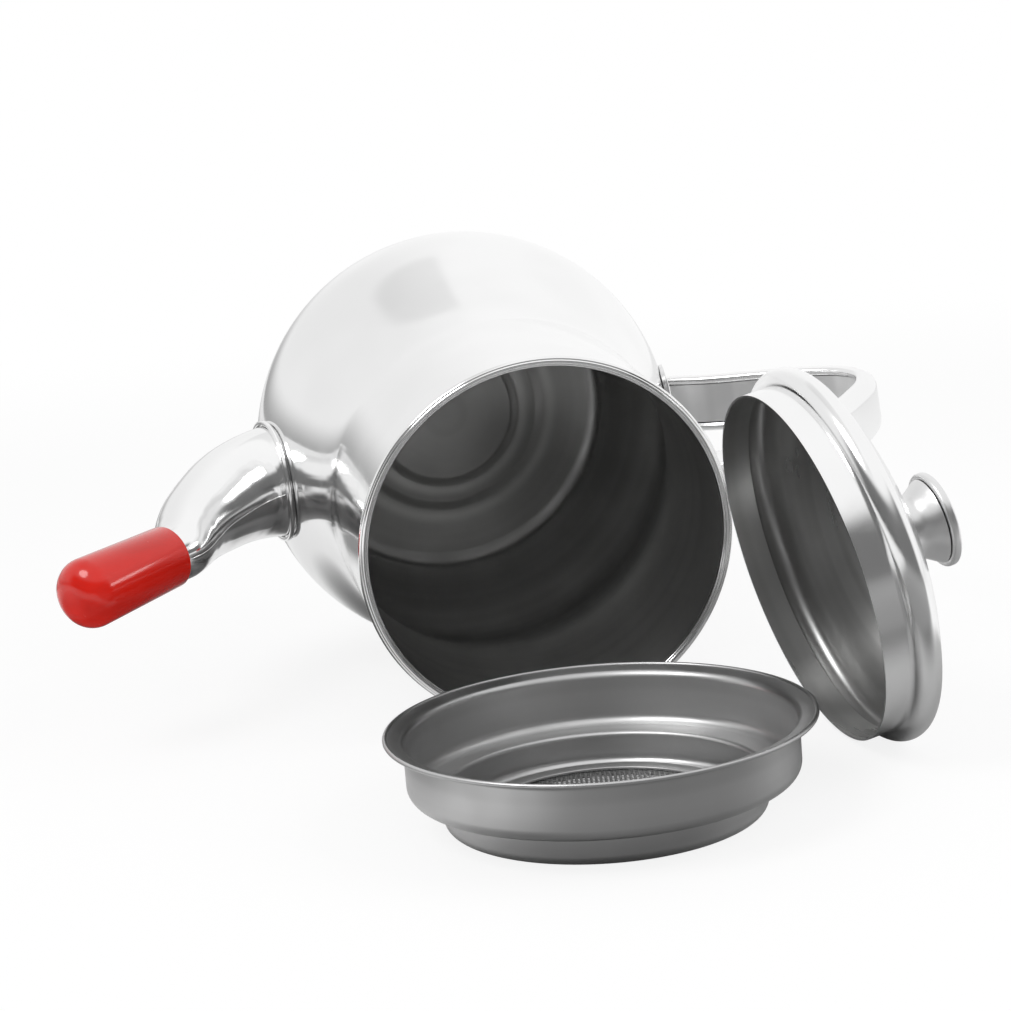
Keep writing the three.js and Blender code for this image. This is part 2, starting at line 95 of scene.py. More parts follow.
# The spout's bends, in shares of its projection and rise, and the handle's, in shares of its reach and height
SPOUT_BENDS = ((-0.303, -0.076), (0.041, -0.024), (0.226, 0.052), (0.369, 0.156), (0.485, 0.273),
               (0.59, 0.393), (0.686, 0.519), (0.758, 0.648), (0.815, 0.78))
EAR_BENDS = ((-0.08, -0.06), (0.19, 0.02), (0.4, 0.13), (0.62, 0.22), (0.82, 0.31), (0.95, 0.4), (1, 0.5),
             (0.96, 0.6), (0.84, 0.71), (0.69, 0.82), (0.49, 0.94), (0.25, 1), (-0.05, 1))

# Grains of each pattern in a metre
TURNING_LINES = 700
HAND_WAVES = 38
WEAR_HAZE = 95
DRAWING_RINGS = 480
DRAWING_BANDS = 160
BLOTCHES = 26
DIP_WAVES = 90
DIP_RUNS = 28
VINYL_GRAIN = 900
VINYL_DUST = 300
FLOOR_CLOUDS = 3

# Colours of the painted highlight rings on the steel, of dust on the cap, of the floor, and of the painted
# shade that gloss sees on it
PAINTED_HIGHLIGHT = (0.95, 0.95, 0.94)
DUST = (0.75, 0.3, 0.24)
FLOOR_SHADES = ((0.86, 0.86, 0.86), (0.9, 0.9, 0.9))
FLOOR_PAINTED_SHADE = (0.08, 0.08, 0.08)

# Zones that gloss sees darker: how dark, then the outer and the inner edge on each axis. The studio's axes
# are the direction of sight, the floor's are places on it, and "away" is the distance from its middle
STUDIO_ZONES = {
    "front": (0.82, ("y", 0, -0.3), ("z", 0.68, 0.48)),
    "left": (0.12, ("x", 0.05, -0.45)),
    "skyline": (0.5, ("x", 0.05, -0.45), ("z", 0.2, 0)),
    "card": (0.12, ("x", -0.04, -0.1), ("x", -0.5, -0.42), ("z", 0.72, 0.78)),
}
# The floor's zones are painted shade in front of and behind the pot, which only gloss sees
FLOOR_SHADE_ZONES = {
    "front": (0.82, ("x", -0.07, 0), ("y", -0.1, -0.15)),
    "behind": (0.85, ("y", 0.2, 0.27), ("x", 0.06, 0), ("away", 1.6, 0.4)),
}

# Round patches of painted shadow on the floor, which only gloss sees: how dark, the middle, the outer and
# the inner radius
FLOOR_SHADOW_PATCHES = {
    "spout": (0.85, (-0.085, 0.045), 0.1, 0.06),
    "cap": (0.85, (-0.17, -0.05), 0.15, 0.08),
    "lid": (0.6, (0.14, -0.04), 0.12, 0.06),
}

# The floor's fade into the white, for the camera and for gloss: where it starts and ends, and both levels
FADE_SEEN = (0.4, 1.2, 0.86, 1)
FADE_MIRRORED = (0.15, 0.5, 0, 0.5)

# Each lamp's place, diameter, power, and whether reflections show it
LAMPS = {"key light": ((-0.5, -0.4, 0.9), 0.5, 4, True), "fill light": ((0.7, -0.2, 0.6), 0.6, 2.5, False)}
LAMP_AIM = Vector((0, 0, 0.05))


# Settings

def length(name, description, default):
    return FloatProperty(name=name, description=description, default=default, unit="LENGTH", precision=4)


def angle(name, description, degrees):
    return FloatProperty(name=name, description=description, default=math.radians(degrees), subtype="ANGLE")


def share(name, description, default):
    return FloatProperty(name=name, description=description, default=default, min=0, max=1)


def place(name, description, default):
    return FloatVectorProperty(name=name, description=description, default=default, subtype="TRANSLATION",
                               unit="LENGTH", precision=6)


def way(name, description, default):
    return FloatVectorProperty(name=name, description=description, default=default, subtype="XYZ",
                               precision=6)


def tint(name, description, default):
    return FloatVectorProperty(name=name, description=description, default=default, subtype="COLOR",
                               min=0, max=1)


class ContainerPlaces(bpy.types.PropertyGroup):
    """Where the pieces lie."""
    pot_base: place("Pot base", "Middle of the pot's base", (-0.014749, 0.140772, 0.073485))
    pot_axis: way("Pot axis", "From the base to the mouth", (0.189974, -0.974606, -0.118543))
    spout_way: way("Spout way", "From the pot's axis to the spout", (-0.981369, -0.184971, -0.051967))
    cap_mouth: place("Cap mouth", "Middle of the cap's open end", (-0.096817, 0.011127, 0.054607))
    strainer_base: place("Strainer base", "Middle of the strainer's base", (0.023812, -0.097823, 0))
    lid_edge: place("Lid edge", "Middle of the lid's open edge", (0.082327, -0.054630, 0.049559))


class ContainerPot(bpy.types.PropertyGroup):
    """Sizes of the pot."""
    mouth: length("Mouth radius", "Inside radius of the rolled rim", 0.052)
    bead: length("Bead radius", "Radius of the rolled rim's roll", 0.0015)
    crease_depth: length("Crease depth", "Depth of the two creases of the rolled rim", 0.00018)
    crease_width: FloatProperty(name="Crease width", default=9,
                                description="Half width of a crease, in degrees round the roll")
    wall: length("Wall", "Thickness of the shell", 0.0008)
    height: length("Height", "From the foot to the middle of the roll", 0.161)
    neck: length("Neck length", "Length of the straight neck", 0.0548)
    belly: length("Belly radius", "Largest radius of the shell", 0.0692)
    belly_height: length("Belly height", "Height of the largest radius", 0.0393)
    lower_arc: length("Lower arc", "Radius of the curve below the belly", 0.0627)
    corner: length("Corner radius", "Radius of the base corner", 0.008)
    foot: length("Foot width", "Width of the foot ring", 0.0052)
    panel: length("Panel radius", "Radius of the pressed base panel", 0.034)
    centre: length("Centre radius", "Radius of the pressed middle of the base", 0.025)
    panel_rise: length("Panel rise", "Rise of the base panel", 0.0014)
    centre_rise: length("Centre rise", "Rise of the middle of the base", 0.0012)
    press_run: length("Press run", "Width of each pressed step of the base", 0.004)
    # The base's two bright rings are painted highlights in the steel's colour
    painted_inner_highlight: length("Inner painted highlight", "Radius of the bright ring round the base's middle", 0.028)
    painted_inner_highlight_width: length("Inner painted highlight width", "Half width of the inner bright ring", 0.0032)
    painted_outer_highlight: length("Outer painted highlight", "Radius of the bright ring round the base panel", 0.038)
    painted_outer_highlight_width: length("Outer painted highlight width", "Half width of the outer bright ring", 0.0036)
    gap: length("Joint gap", "Clearance between joined pieces", 0.0003)


class ContainerSpout(bpy.types.PropertyGroup):
    """Sizes of the spout and its cap."""
    root: length("Root radius", "Outside radius at the shell", 0.0194)
    tip: length("Tip radius", "Outside radius at the tip", 0.0081)
    wall: length("Wall", "Thickness of the spout", 0.0008)
    root_height: length("Root height", "Height of the root above the base", 0.0548)
    rise: length("Rise", "Height of the cap's mouth above the root", 0.0582)
    projection: length("Projection", "Reach of the cap's mouth past the belly", 0.0363)
    tip_angle: angle("Tip angle", "Slope of the straight tip", 41)
    tip_length: length("Tip length", "Length of the straight tip", 0.025)
    run_in: length("Run in", "Length of the straight run ahead of the tip", 0.005)
    seam: length("Seam chamfer", "Chamfer along the seam between the halves", 0.00025)
    collar_width: length("Collar width", "Radial width of the root collar", 0.0014)
    collar_thickness: length("Collar thickness", "Thickness of the root collar", 0.0016)
    cap_wall: length("Cap wall", "Thickness of the cap", 0.0011)
    cap_flare: length("Cap flare", "Growth of the cap's radius to its end", 0.00095)
    cap_length: length("Cap length", "Length of the cap", 0.0394)
    cap_round: length("Cap round", "Rounding of the cap's end", 0.0075)
    cap_lip: length("Cap lip", "Rounding of the cap's open edge", 0.0003)


class ContainerHandle(bpy.types.PropertyGroup):
    """Sizes of the handle."""
    width: length("Width", "Width of the strap", 0.0188)
    depth: length("Depth", "Depth of the strap", 0.0064)
    sheet: length("Sheet", "Thickness of the strap's back", 0.001)
    edge: length("Edge width", "Width of the rolled edges", 0.0026)
    back_round: length("Back round", "Rounding of the strap's back edges", 0.0042)
    liner: length("Liner", "Thickness of the liner", 0.0008)
    recess: length("Recess", "Depth of the liner below the rolled edges", 0.0014)
    drop: length("Drop", "From the rim to the upper root", 0.015)
    root_height: length("Root height", "Height of the lower root", 0.052)
    reach: length("Reach", "Reach of the handle's middle past the belly", 0.0515)
    skew: angle("Skew", "Turn of the handle about the pot's axis", 4.2)
    pad_thickness: length("Pad thickness", "Thickness of the weld pads", 0.0012)
    pad_width: length("Pad width", "Width of the weld pads", 0.023)
    pad_height: length("Pad height", "Height of the weld pads", 0.017)
    pad_round: length("Pad round", "Corner radius of the weld pads", 0.004)


class ContainerStrainer(bpy.types.PropertyGroup):
    """Sizes of the strainer."""
    play: length("Play", "Play between the strainer and the mouth", 0.0017)
    sheet: length("Sheet", "Thickness of the strainer", 0.0006)
    height: length("Height", "Height of the strainer", 0.0247)
    lip: length("Lip width", "Width of the flared lip", 0.0045)
    lip_rise: length("Lip rise", "Rise of the flared lip", 0.0022)
    lip_round: length("Lip round", "Rounding under the lip", 0.0016)
    lip_roll: length("Lip roll", "Radius of the rolled edge of the lip", 0.0006)
    step: length("Step width", "Width of the step in the wall", 0.0088)
    step_height: length("Step height", "Height of the step", 0.0086)
    shoulder: length("Shoulder", "Rounding above the step", 0.0034)
    press: length("Press radius", "Rounding of the base", 0.0025)
    drain: length("Drain radius", "Radius of the opening in the base", 0.031)
    mesh_lap: length("Mesh lap", "Lap of the mesh over the base", 0.0036)
    mesh_thickness: length("Mesh thickness", "Thickness of the mesh", 0.0005)
    ring_lap: length("Ring lap", "Lap of the ring past the mesh", 0.001)
    mesh_pitch: length("Mesh pitch", "Distance between the wires", 0.0013)


class ContainerLid(bpy.types.PropertyGroup):
    """Sizes of the lid and its knob."""
    play: length("Play", "Play between the lid and the strainer", 0.0005)
    sheet: length("Sheet", "Thickness of the lid", 0.0006)
    skirt: length("Skirt height", "Height of the skirt", 0.0073)
    bulge: length("Bulge radius", "Radius of the round bulge", 0.0041)
    dome: length("Dome height", "Height of the dome", 0.0282)
    dome_start: angle("Dome start", "Angle at which the dome leaves the bulge", 63.5)
    knob_base: length("Knob base radius", "Radius of the knob's foot", 0.0105)
    knob_waist: length("Knob waist radius", "Radius of the knob's waist", 0.009)
    knob_top: length("Knob top radius", "Radius of the neck under the disc", 0.012)
    knob_height: length("Knob height", "Height of the knob's neck", 0.0113)
    seat_margin: length("Seat margin", "Flat rim round the knob's foot", 0.001)
    disc_radius: length("Disc radius", "Radius of the knob's disc", 0.0134)
    disc_thickness: length("Disc thickness", "Thickness of the knob's disc", 0.0026)
    disc_crown: length("Disc crown", "Rise of the disc's top", 0.0007)
    disc_round: length("Disc round", "Rounding of the disc's edge", 0.0009)
    spigot: length("Spigot radius", "Radius of the disc's spigot", 0.004)
    spigot_depth: length("Spigot depth", "Depth of the disc's spigot", 0.002)
    screw: length("Screw radius", "Radius of the screw", 0.002)
    screw_reach: length("Screw reach", "Reach of the screw into the knob", 0.007)
    head_radius: length("Head radius", "Radius of the screw head", 0.0045)
    head_height: length("Head height", "Height of the screw head", 0.0026)
    slot_width: length("Slot width", "Width and depth of the screw slot", 0.0012)
    washer: length("Washer radius", "Radius of the washer", 0.0065)
    washer_thickness: length("Washer thickness", "Thickness of the washer", 0.001)


class ContainerLook(bpy.types.PropertyGroup):
    """Colours and fineness."""
    polished: tint("Polished steel", "Colour of the polished steel", (0.93, 0.93, 0.93))
    satin: tint("Satin steel", "Colour of the satin steel", (0.64, 0.64, 0.64))
    inside: tint("Inside steel", "Colour of the drawn steel inside the pot", (0.62, 0.62, 0.615))
    wire: tint("Mesh wire", "Colour of the strainer's wire", (0.4, 0.4, 0.4))
    vinyl: tint("Cap vinyl", "Colour of the dipped cap", (0.62, 0.008, 0.001))
    steps: IntProperty(name="Turned steps", description="Steps round a turned piece", default=144, min=24)


class ContainerStage(bpy.types.PropertyGroup):
    """Camera, light and floor."""
    camera: place("Camera", "Place of the camera", (0.004551, -0.660690, 0.1839))
    pitch: angle("Camera pitch", "Downward tilt of the camera", 10.32)
    roll: angle("Camera roll", "Roll of the camera", -4.773)
    lens: FloatProperty(name="Lens", description="Focal length in millimetres", default=81.84)
    floor: length("Floor size", "Half the side of the floor", 4)
    room: share("Room light", "Level of the light from all round", 0.7)


class ContainerSettings(bpy.types.PropertyGroup):
    """All sizes and colours of the container."""
    places: PointerProperty(type=ContainerPlaces)
    pot: PointerProperty(type=ContainerPot)
    spout: PointerProperty(type=ContainerSpout)
    handle: PointerProperty(type=ContainerHandle)
    strainer: PointerProperty(type=ContainerStrainer)
    lid: PointerProperty(type=ContainerLid)
    look: PointerProperty(type=ContainerLook)
    stage: PointerProperty(type=ContainerStage)


def settings():
    return bpy.context.scene.grease_container


# Outlines of (radius, height)

def even_parts(count):
    """Even parts of a way, from 0 to 1."""
    return [step / count for step in range(count + 1)]


def between(start, end, part):
    return start + (end - start) * part


def eased(part):
    """A part of a way that starts and ends level."""
    return part * part * (3 - 2 * part)


def arc(centre, radius, start, end, steps):
    """Points of an arc, its angles in degrees."""
    turns = [math.radians(between(start, end, part)) for part in even_parts(steps)]
    return [(centre[0] + radius * math.cos(turn), centre[1] + radius * math.sin(turn)) for turn in turns]


def offset(line, distance):
    """A line moved to the left of its run, its corners mitred."""
    points = [Vector(point) for point in line]
    moved = []
    for index, point in enumerate(points):
        pairs = ((points[max(index - 1, 0)], point), (point, points[min(index + 1, len(points) - 1)]))
        sides = [(end - start).orthogonal().normalized() for start, end in pairs if start != end]
        total = sum(sides, Vector((0, 0)))
        moved.append(tuple(point + total * (distance * len(sides) / total.length_squared)))
    return moved


def smooth_path(points, steps):
    """Evenly spaced points of a centripetal curve through the given ones, with their tangents."""
    knots = [Vector((x, 0, z)) for x, z in points]
    knots = [2 * knots[0] - knots[1], *knots, 2 * knots[-1] - knots[-2]]
    dense = []
    for p0, p1, p2, p3 in zip(knots, knots[1:], knots[2:], knots[3:]):
        d0, d1, d2 = ((b - a).length ** 0.5 for a, b in ((p0, p1), (p1, p2), (p2, p3)))
        leave = ((p1 - p0) / d0 - (p2 - p0) / (d0 + d1) + (p2 - p1) / d1) * d1
        arrive = ((p2 - p1) / d1 - (p3 - p1) / (d1 + d2) + (p3 - p2) / d2) * d1
        dense += geometry.interpolate_bezier(p1, p1 + leave / 3, p2 - arrive / 3, p2, KNOT_STEPS)[:-1]
    dense.append(knots[-2])
    travelled = [0.0]
    for start, end in zip(dense, dense[1:]):
        travelled.append(travelled[-1] + (end - start).length)
    path, segment = [], 0
    for part in even_parts(steps):
        target = travelled[-1] * part
        while segment < len(dense) - 2 and travelled[segment + 1] < target:
            segment += 1
        past = (target - travelled[segment]) / (travelled[segment + 1] - travelled[segment])
        path.append(dense[segment].lerp(dense[segment + 1], past))
    ends = [path[0] * 2 - path[1], *path, path[-1] * 2 - path[-2]]
    return [(point, (after - before).normalized()) for before, point, after in zip(ends, path, ends[2:])]


def stations(path, sizes=None):
    """A matrix for each point of a path: local X to the left of the run, local Y along +Y."""
    found = []
    for index, (point, along) in enumerate(path):
        size = sizes[index] if sizes else 1
        left = Vector((-along.z, 0, along.x))
        found.append(Matrix.Translation(point) @ Matrix((left, AXIS_Y, -along)).transposed().to_4x4()
                     @ Matrix.Scale(size, 4))
    return found


# Meshes

def chain(bm, points, closed=False):
    """Points joined by edges."""
    verts = [bm.verts.new(point) for point in points]
    edges = [bm.edges.new(pair) for pair in zip(verts, verts[1:])]
    if closed:
        edges.append(bm.edges.new((verts[-1], verts[0])))
    return verts, edges


def closed_up(bm):
    """Merges doubles and turns the faces outwards."""
    bmesh.ops.remove_doubles(bm, verts=bm.verts, dist=MERGE_DISTANCE)
    bmesh.ops.recalc_face_normals(bm, faces=bm.faces)
    return bm


def turned(*lines, steps=None):
    """Lines of (radius, height) turned about +Z. Each line's faces take their own material."""
    bm = bmesh.new()
    for slot, line in enumerate(lines):
        verts, edges = chain(bm, [(x, 0, z) for x, z in line])
        before = set(bm.faces)
        bmesh.ops.spin(bm, geom=verts + edges, cent=(0, 0, 0), axis=UP, angle=math.tau,
                       steps=steps or settings().look.steps, use_merge=True)
        for face in set(bm.faces) - before:
            face.material_index = slot
    return closed_up(bm)


def swept(outline, places, closed_outline=True, ring=False):
    """An outline of (left, across) points drawn through a matrix for each step of the way."""
    bm = bmesh.new()
    verts, edges = chain(bm, [(x, y, 0) for x, y in outline], closed_outline)
    bmesh.ops.transform(bm, matrix=places[0], verts=verts)
    for before, after in zip(places, [*places[1:], *([places[0]] if ring else [])]):
        grown = bmesh.ops.extrude_edge_only(bm, edges=edges)["geom"]
        edges = [item for item in grown if isinstance(item, bmesh.types.BMEdge)]
        verts = [item for item in grown if isinstance(item, bmesh.types.BMVert)]
        bmesh.ops.transform(bm, matrix=after @ before.inverted(), verts=verts)
    if closed_outline and not ring:
        bmesh.ops.holes_fill(bm, edges=[edge for edge in bm.edges if edge.is_boundary], sides=0)
    return closed_up(bm)


def thickened(bm, thickness):
    """Gives a sheet its wall, inside its outer face."""
    bmesh.ops.solidify(bm, geom=bm.faces, thickness=thickness)
    return closed_up(bm)


def draft(bm):
    """A linked object with the mesh."""
    mesh = bpy.data.meshes.new("draft")
    bm.to_mesh(mesh)
    bm.free()
    item = bpy.data.objects.new("draft", mesh)
    bpy.context.scene.collection.objects.link(item)
    return item


def cut(bm, tool):
    """The first solid without what the second holds."""
    body, other = draft(bm), draft(tool)
    modifier = body.modifiers.new("cut", "BOOLEAN")
    modifier.operation = "DIFFERENCE"
    modifier.object = other
    modifier.solver = "EXACT"
    graph = bpy.context.evaluated_depsgraph_get()
    result = bmesh.new()
    result.from_object(body, graph)
    for item in (body, other):
        mesh = item.data
        bpy.data.objects.remove(item)
        bpy.data.meshes.remove(mesh)
    return result


def bevelled(bm, width):
    """Takes off the square edges."""
    edges = [edge for edge in bm.edges if edge.calc_face_angle(0) > math.radians(SQUARE_TURN)]
    bmesh.ops.bevel(bm, geom=edges, offset=width, affect="EDGES", segments=1, profile=0.5,
                    material=-1, clamp_overlap=True)
    return bm


def finished(name, bm, at, body, nodes, slot, *materials):
    """Sets a mesh in its place, shades it, ties it to its body and hides the nodes it stands for."""
    bmesh.ops.transform(bm, matrix=at, verts=bm.verts)
    for face in bm.faces:
        face.smooth = True
    for edge in bm.edges:
        edge.smooth = edge.calc_face_angle(0) < math.radians(SHARP_TURN)
    piece = draft(bm)
    piece.name = piece.data.name = name
    for material in materials:
        piece.data.materials.append(material)
    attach(piece, body)
    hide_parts(*nodes)


def seat(origin, z_way, x_way=None):
    """A place whose local Z runs along z_way."""
    z_axis = Vector(z_way).normalized()
    x_axis = Vector(x_way) if x_way else UP.cross(z_axis)
    if x_axis.length < MERGE_DISTANCE:
        x_axis = Vector((1, 0, 0))
    x_axis = (x_axis - z_axis * x_axis.dot(z_axis)).normalized()
    axes = Matrix((x_axis, z_axis.cross(x_axis), z_axis)).transposed().to_4x4()
    return Matrix.Translation(origin) @ axes


def pot_seat():
    """The pot's place, its local X towards the spout."""
    places = settings().places
    return seat(places.pot_base, places.pot_axis, places.spout_way)


def joint_seat(spot, joint):
    """A place whose local Z runs along a joint's axis."""
    return seat(spot, JOINTS[joint]["axis"])


# Shader maths

class Value:
    """A socket that Python's own operators combine through Math nodes."""

    def __init__(self, shader, socket):
        self.shader = shader
        self.socket = socket

    def through(self, operation, *others):
        """This value and any others through one Math node."""
        return self.shader.maths(operation, self, *others)

    def __add__(self, other):
        return self.through("ADD", other)

    __radd__ = __add__

    def __sub__(self, other):
        return self.through("SUBTRACT", other)

    def __rsub__(self, other):
        return self.shader.maths("SUBTRACT", other, self)

    def __mul__(self, other):
        return self.through("MULTIPLY", other)

    __rmul__ = __mul__


class Shader:
    """A node tree that is written as expressions."""

    def __init__(self, owner):
        owner.use_nodes = True
        self.tree = owner.node_tree
        self.tree.nodes.clear()

    def node(self, kind, options=None, values=None, output=0):
        """A node with its settings, then its sockets' values or links. Gives one of its outputs."""
        made = self.tree.nodes.new(kind)
        for key, option in (options or {}).items():
            setattr(made, key, option)
        for key, value in (values or {}).items():
            socket = made.inputs[key]
            if isinstance(value, Value):
                self.tree.links.new(value.socket, socket)
            elif value is not None:
                socket.default_value = (*value, 1) if socket.type == "RGBA" else value
        return Value(self, made.outputs[output]) if made.outputs else None

    def maths(self, operation, *terms):
        return self.node("ShaderNodeMath", {"operation": operation}, dict(enumerate(terms)))

    def parts(self, vector):
        split = self.node("ShaderNodeSeparateXYZ", None, {"Vector": vector}).socket.node
        return [Value(self, socket) for socket in split.outputs]

    def joined(self, x, y, z):
        return self.node("ShaderNodeCombineXYZ", None, {"X": x, "Y": y, "Z": z})

    def off_axis(self, x, y):
        """The distance from the local Z axis."""
        return self.node("ShaderNodeVectorMath", {"operation": "LENGTH"}, {0: self.joined(x, y, 0)}, "Value")

    def local(self, at):
        """Object coordinates in a piece's own place."""
        whole = self.node("ShaderNodeTexCoord", output="Object")
        return self.node("ShaderNodeMapping", {"vector_type": "TEXTURE"},
                         {"Vector": whole, "Location": at.translation, "Rotation": at.to_euler()})

    def noise(self, vector, scale, detail, roughness=0.5):
        return self.node("ShaderNodeTexNoise", None, {
            "Vector": vector, "Scale": scale, "Detail": detail, "Roughness": roughness})

    def rings(self, spot, scale, detail):
        """Noise in rings round the local Z axis."""
        x, y, z = self.parts(spot)
        return self.noise(self.joined(self.off_axis(x, y) * scale, z * scale, 0), scale=1.0, detail=detail)

    def span(self, value, low, high, to_low=0.0, to_high=1.0, kind="SMOOTHSTEP"):
        """A value's way from low to high, clamped, as a way between two others."""
        return self.node("ShaderNodeMapRange", {"interpolation_type": kind}, {
            "Value": value, "From Min": low, "From Max": high, "To Min": to_low, "To Max": to_high})

    def choice(self, factor, first, second):
        """A mix of two numbers."""
        return self.node("ShaderNodeMix", {"data_type": "FLOAT"}, {0: factor, 2: first, 3: second})

    def blend(self, factor, first, second):
        """A mix of two colours."""
        return self.node("ShaderNodeMix", {"data_type": "RGBA"}, {0: factor, 6: first, 7: second}, 2)

    def bump(self, height, distance, strength, under=None):
        return self.node("ShaderNodeBump", None, {
            "Height": height, "Distance": distance, "Strength": strength, "Normal": under})

    def surface(self, values):
        """Ends a material in one Principled shader."""
        made = self.node("ShaderNodeBsdfPrincipled", None, values)
        self.node("ShaderNodeOutputMaterial", None, {"Surface": made})


def new_material(name):
    material = bpy.data.materials.new(name)
    return material, Shader(material)


def deeper(colour, share_left):
    """A darker shade of a colour."""
    return tuple(share_left * part for part in colour)


def polished_steel(name, at, colour, gloss=0.09, brush=0.25):
    """Polished steel with faint turning lines, soft waves and hazy wear."""
    material, shader = new_material(name)
    spot = shader.local(at)
    lines = shader.rings(spot, TURNING_LINES, detail=1.5)
    waves = shader.noise(spot, HAND_WAVES, detail=1.0)
    haze = shader.noise(spot, WEAR_HAZE, detail=4.0, roughness=0.6)
    shader.surface({
        "Base Color": shader.blend(shader.span(waves, 0.3, 0.7), colour, deeper(colour, 0.97)),
        "Metallic": 1.0,
        "Roughness": gloss + shader.span(haze, 0.45, 0.75, 0, 0.07) + lines * (0.05 * brush),
        "Normal": shader.bump(lines, distance=0.000004, strength=brush,
                              under=shader.bump(waves, distance=0.00025, strength=0.3))})
    return material


def satin_steel(name, at, colour, gloss=0.3, banding=0.18, painted_highlight_rings=()):
    """Drawn or brushed steel: fine rings round the piece's axis, broad soft bands, blotches, and painted
    highlight rings that lighten the colour towards bright steel, each with its radius and half width."""
    material, shader = new_material(name)
    spot = shader.local(at)
    rings = shader.rings(spot, DRAWING_RINGS, detail=1.5)
    bands = shader.rings(spot, DRAWING_BANDS, detail=1.0)
    blotch = shader.noise(spot, BLOTCHES, detail=3.0, roughness=0.55)
    dark = shader.span(blotch, 0.3, 0.7) * 0.5 + shader.span(bands, 0.35, 0.65) * 0.5
    shade = shader.blend(dark, colour, deeper(colour, 1 - banding))
    # Each ring is a painted highlight: the colour is lightened towards bright steel there
    for radius, half_width in painted_highlight_rings:
        away = (shader.off_axis(*shader.parts(spot)[:2]) - radius).through("ABSOLUTE")
        shade = shader.blend(shader.span(away, half_width, 0) * 0.75, shade, PAINTED_HIGHLIGHT)
    shader.surface({
        "Base Color": shade, "Metallic": 1.0,
        "Roughness": gloss + rings * 0.08 + shader.span(blotch, 0.4, 0.7, -0.05, 0.07),
        "Normal": shader.bump(rings, distance=0.00002, strength=0.35)})
    return material


def woven_wire(name, at, colour, pitch):
    """A fine plain weave: wires cross over and under, with open holes between and painted shade along the
    wires' edges.
    """
    material, shader = new_material(name)
    x, y = (side * (math.pi / pitch) for side in shader.parts(shader.local(at))[:2])
    across, along = (side.through("COSINE").through("ABSOLUTE") for side in (x, y))
    wires = across.through("MAXIMUM", along)
    height = wires + x.through("SINE") * y.through("SINE") * 0.2
    shader.surface({
        # The wires' edges are painted darker: painted shade of their round sides
        "Base Color": shader.blend(shader.span(wires, 0.7, 1.0), deeper(colour, 0.35), colour),
        "Metallic": 1.0, "Roughness": 0.34, "Alpha": shader.span(wires, 0.66, 0.72),
        "Normal": shader.bump(height, distance=0.0004, strength=0.9)})
    return material


def dipped_vinyl(name, at, colour):
    """Soft glossy dipped vinyl with slow waves, dust and darker runs."""
    material, shader = new_material(name)
    spot = shader.local(at)
    x, y, z = shader.parts(spot)
    flow = shader.noise(shader.joined(x * DIP_WAVES, y * DIP_WAVES, z * DIP_RUNS), scale=1.0, detail=2.0)
    grain = shader.noise(spot, VINYL_GRAIN, detail=3.0)
    dust = shader.span(shader.noise(spot, VINYL_DUST, detail=5.0, roughness=0.7), 0.62, 0.8)
    shade = shader.blend(shader.span(flow, 0.3, 0.75) * 0.55, colour, deeper(colour, 0.62))
    shader.surface({
        "Base Color": shader.blend(dust * 0.05, shade, DUST),
        "Roughness": 0.2 + dust * 0.2 + grain * 0.05, "Specular IOR Level": 0.3,
        "Coat Weight": 0.55, "Coat Roughness": 0.1,
        "Normal": shader.bump(grain, distance=0.00002, strength=0.3,
                              under=shader.bump(flow, distance=0.0006, strength=0.5))})
    return material


# The pot

def shell_line():
    """The shell's outer line from the foot's inner edge up to the neck, the middle of the base corner's
    rounding, and the neck's radius."""
    pot = settings().pot
    lower = (pot.belly - pot.lower_arc, pot.belly_height)
    reach = pot.lower_arc - pot.corner
    drop = pot.belly_height - pot.corner
    corner = (lower[0] + math.sqrt(reach ** 2 - drop ** 2), pot.corner)
    meeting = -math.degrees(math.asin(drop / reach))
    neck = pot.mouth + pot.bead + pot.wall
    shoulder = [(between(pot.belly, neck, eased(part)),
                 between(pot.belly_height, pot.height - pot.neck, part))
                for part in even_parts(SHOULDER_STEPS)[1:]]
    line = [(corner[0] - pot.foot, 0), *arc(corner, pot.corner, -90, meeting, steps=10),
            *arc(lower, pot.lower_arc, meeting, 0, steps=26)[1:], *shoulder]
    return line, corner, neck


def shell_radius(height):
    """The shell's outer radius at a height."""
    line, _, neck = shell_line()
    for (x0, z0), (x1, z1) in zip(line, line[1:]):
        if z0 <= height <= z1 and z1 > z0:
            return between(x0, x1, (height - z0) / (z1 - z0))
    return neck


def pot_form(distance):
    """The pot's outside as one solid, grown by a distance."""
    line, _, neck = shell_line()
    pot = settings().pot
    grown = offset(line, -distance)
    top = (neck + distance, pot.height + pot.corner)
    return turned([(0, grown[0][1]), *grown, top, (0, top[1])])


def spout_path():
    spout, pot = settings().spout, settings().pot
    root = Vector((pot.belly, spout.root_height))
    mouth = root + Vector((spout.projection, spout.rise))
    tip = Vector((math.cos(spout.tip_angle), math.sin(spout.tip_angle)))
    points = [root + Vector((spout.projection * x, spout.rise * y)) for x, y in SPOUT_BENDS]
    points += [mouth - tip * spout.run_in, mouth, mouth + tip * spout.tip_length]
    return smooth_path([tuple(point) for point in points], SPOUT_STEPS)


def spout_stations(distance):
    """The spout's stations, scaled so that a unit circle becomes the spout grown by a distance."""
    spout = settings().spout
    path = spout_path()
    whole = sum((b[0] - a[0]).length for a, b in zip(path, path[1:]))
    taper = whole / (whole - spout.tip_length)
    sizes = [between(spout.tip, spout.root, max(1 - part * taper, 0)) + distance
             for part in even_parts(SPOUT_STEPS)]
    return stations(path, sizes)


def spout_form(distance):
    """The spout's outside as one solid, grown by a distance."""
    return swept(arc((0, 0), 1, 0, 360, SPOUT_ROUND_STEPS)[1:], spout_stations(distance))


